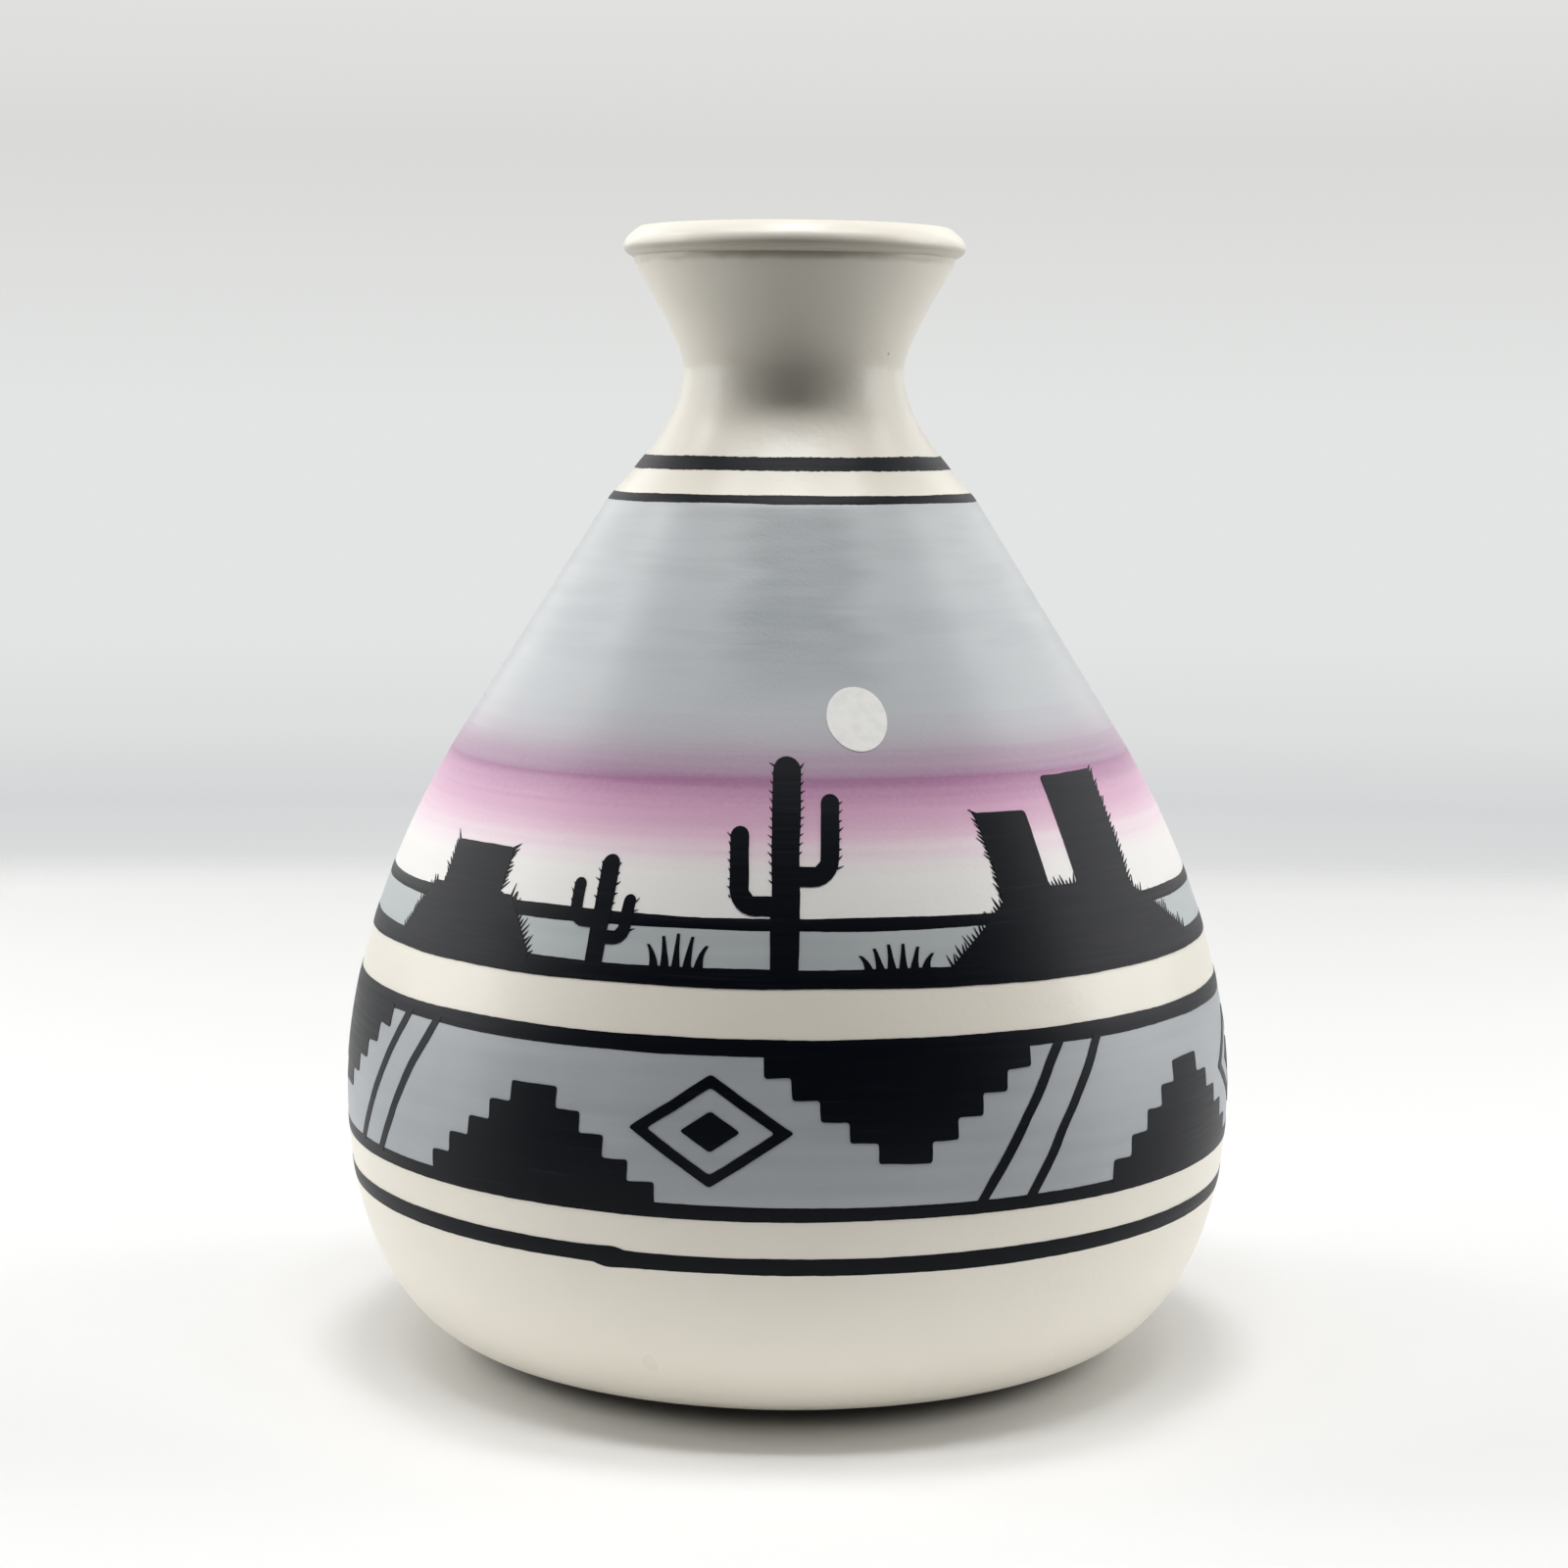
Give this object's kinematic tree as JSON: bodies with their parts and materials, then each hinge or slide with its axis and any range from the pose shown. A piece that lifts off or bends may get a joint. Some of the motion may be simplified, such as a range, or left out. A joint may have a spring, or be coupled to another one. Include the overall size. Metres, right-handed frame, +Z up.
{
  "type": "pottery vase",
  "caption": "Small round-bellied pottery vase with a narrow neck, a flared mouth and painted bands, to hold a few stems or to stand as an ornament.",
  "frame": {"origin": "centre of the foot ring, on the plane that the vase stands on", "axes": "+Z up along the axis that the vase is turned round; the front of the painted scene faces -Y and +X is to its right"},
  "size_m": [0.1116, 0.1116, 0.14],
  "materials": {
    "cream_clay": "fired cream clay, satin, faintly mottled",
    "black_brush_paint": "black ceramic paint, brushed, satin",
    "sky_grey_paint": "blue-grey ceramic paint, airbrushed, satin",
    "dusk_mauve_paint": "mauve to pink ceramic paint, airbrushed, satin",
    "haze_white_paint": "near-white ceramic paint, airbrushed, satin",
    "ground_grey_paint": "grey ceramic paint, airbrushed, satin",
    "frieze_grey_paint": "mid-grey ceramic paint, airbrushed, satin",
    "pale_sun_paint": "white ceramic paint, dabbed, satin"
  },
  "bodies": {
    "root": {"clay_body": "cream_clay", "belly_stripe": "black_brush_paint", "frieze_lower_stripe": "black_brush_paint", "frieze_upper_stripe": "black_brush_paint", "ground_stripe": "black_brush_paint", "horizon_stripe": "black_brush_paint", "collar_lower_stripe": "black_brush_paint", "collar_upper_stripe": "black_brush_paint", "frieze_grey_coat": "frieze_grey_paint", "ground_grey_coat": "ground_grey_paint", "haze_white_coat": "haze_white_paint", "dusk_mauve_coat": "dusk_mauve_paint", "sky_grey_coat": "sky_grey_paint", "left_mesa": "black_brush_paint", "small_cactus": "black_brush_paint", "tall_cactus": "black_brush_paint", "twin_buttes": "black_brush_paint", "back_mesa": "black_brush_paint", "back_cactus": "black_brush_paint", "left_grass_clump": "black_brush_paint", "right_grass_clump": "black_brush_paint", "pale_sun": "pale_sun_paint", "frieze_low_terrace_1": "black_brush_paint", "frieze_hanging_terrace_1": "black_brush_paint", "frieze_diamond_1": "black_brush_paint", "frieze_diamond_heart_1": "black_brush_paint", "frieze_left_slant_1": "black_brush_paint", "frieze_right_slant_1": "black_brush_paint", "frieze_low_terrace_2": "black_brush_paint", "frieze_hanging_terrace_2": "black_brush_paint", "frieze_diamond_2": "black_brush_paint", "frieze_diamond_heart_2": "black_brush_paint", "frieze_left_slant_2": "black_brush_paint", "frieze_right_slant_2": "black_brush_paint", "frieze_low_terrace_3": "black_brush_paint", "frieze_hanging_terrace_3": "black_brush_paint", "frieze_diamond_3": "black_brush_paint", "frieze_diamond_heart_3": "black_brush_paint", "frieze_left_slant_3": "black_brush_paint", "frieze_right_slant_3": "black_brush_paint", "frieze_low_terrace_4": "black_brush_paint", "frieze_hanging_terrace_4": "black_brush_paint", "frieze_diamond_4": "black_brush_paint", "frieze_diamond_heart_4": "black_brush_paint", "frieze_left_slant_4": "black_brush_paint", "frieze_right_slant_4": "black_brush_paint"}
  },
  "joints": []
}
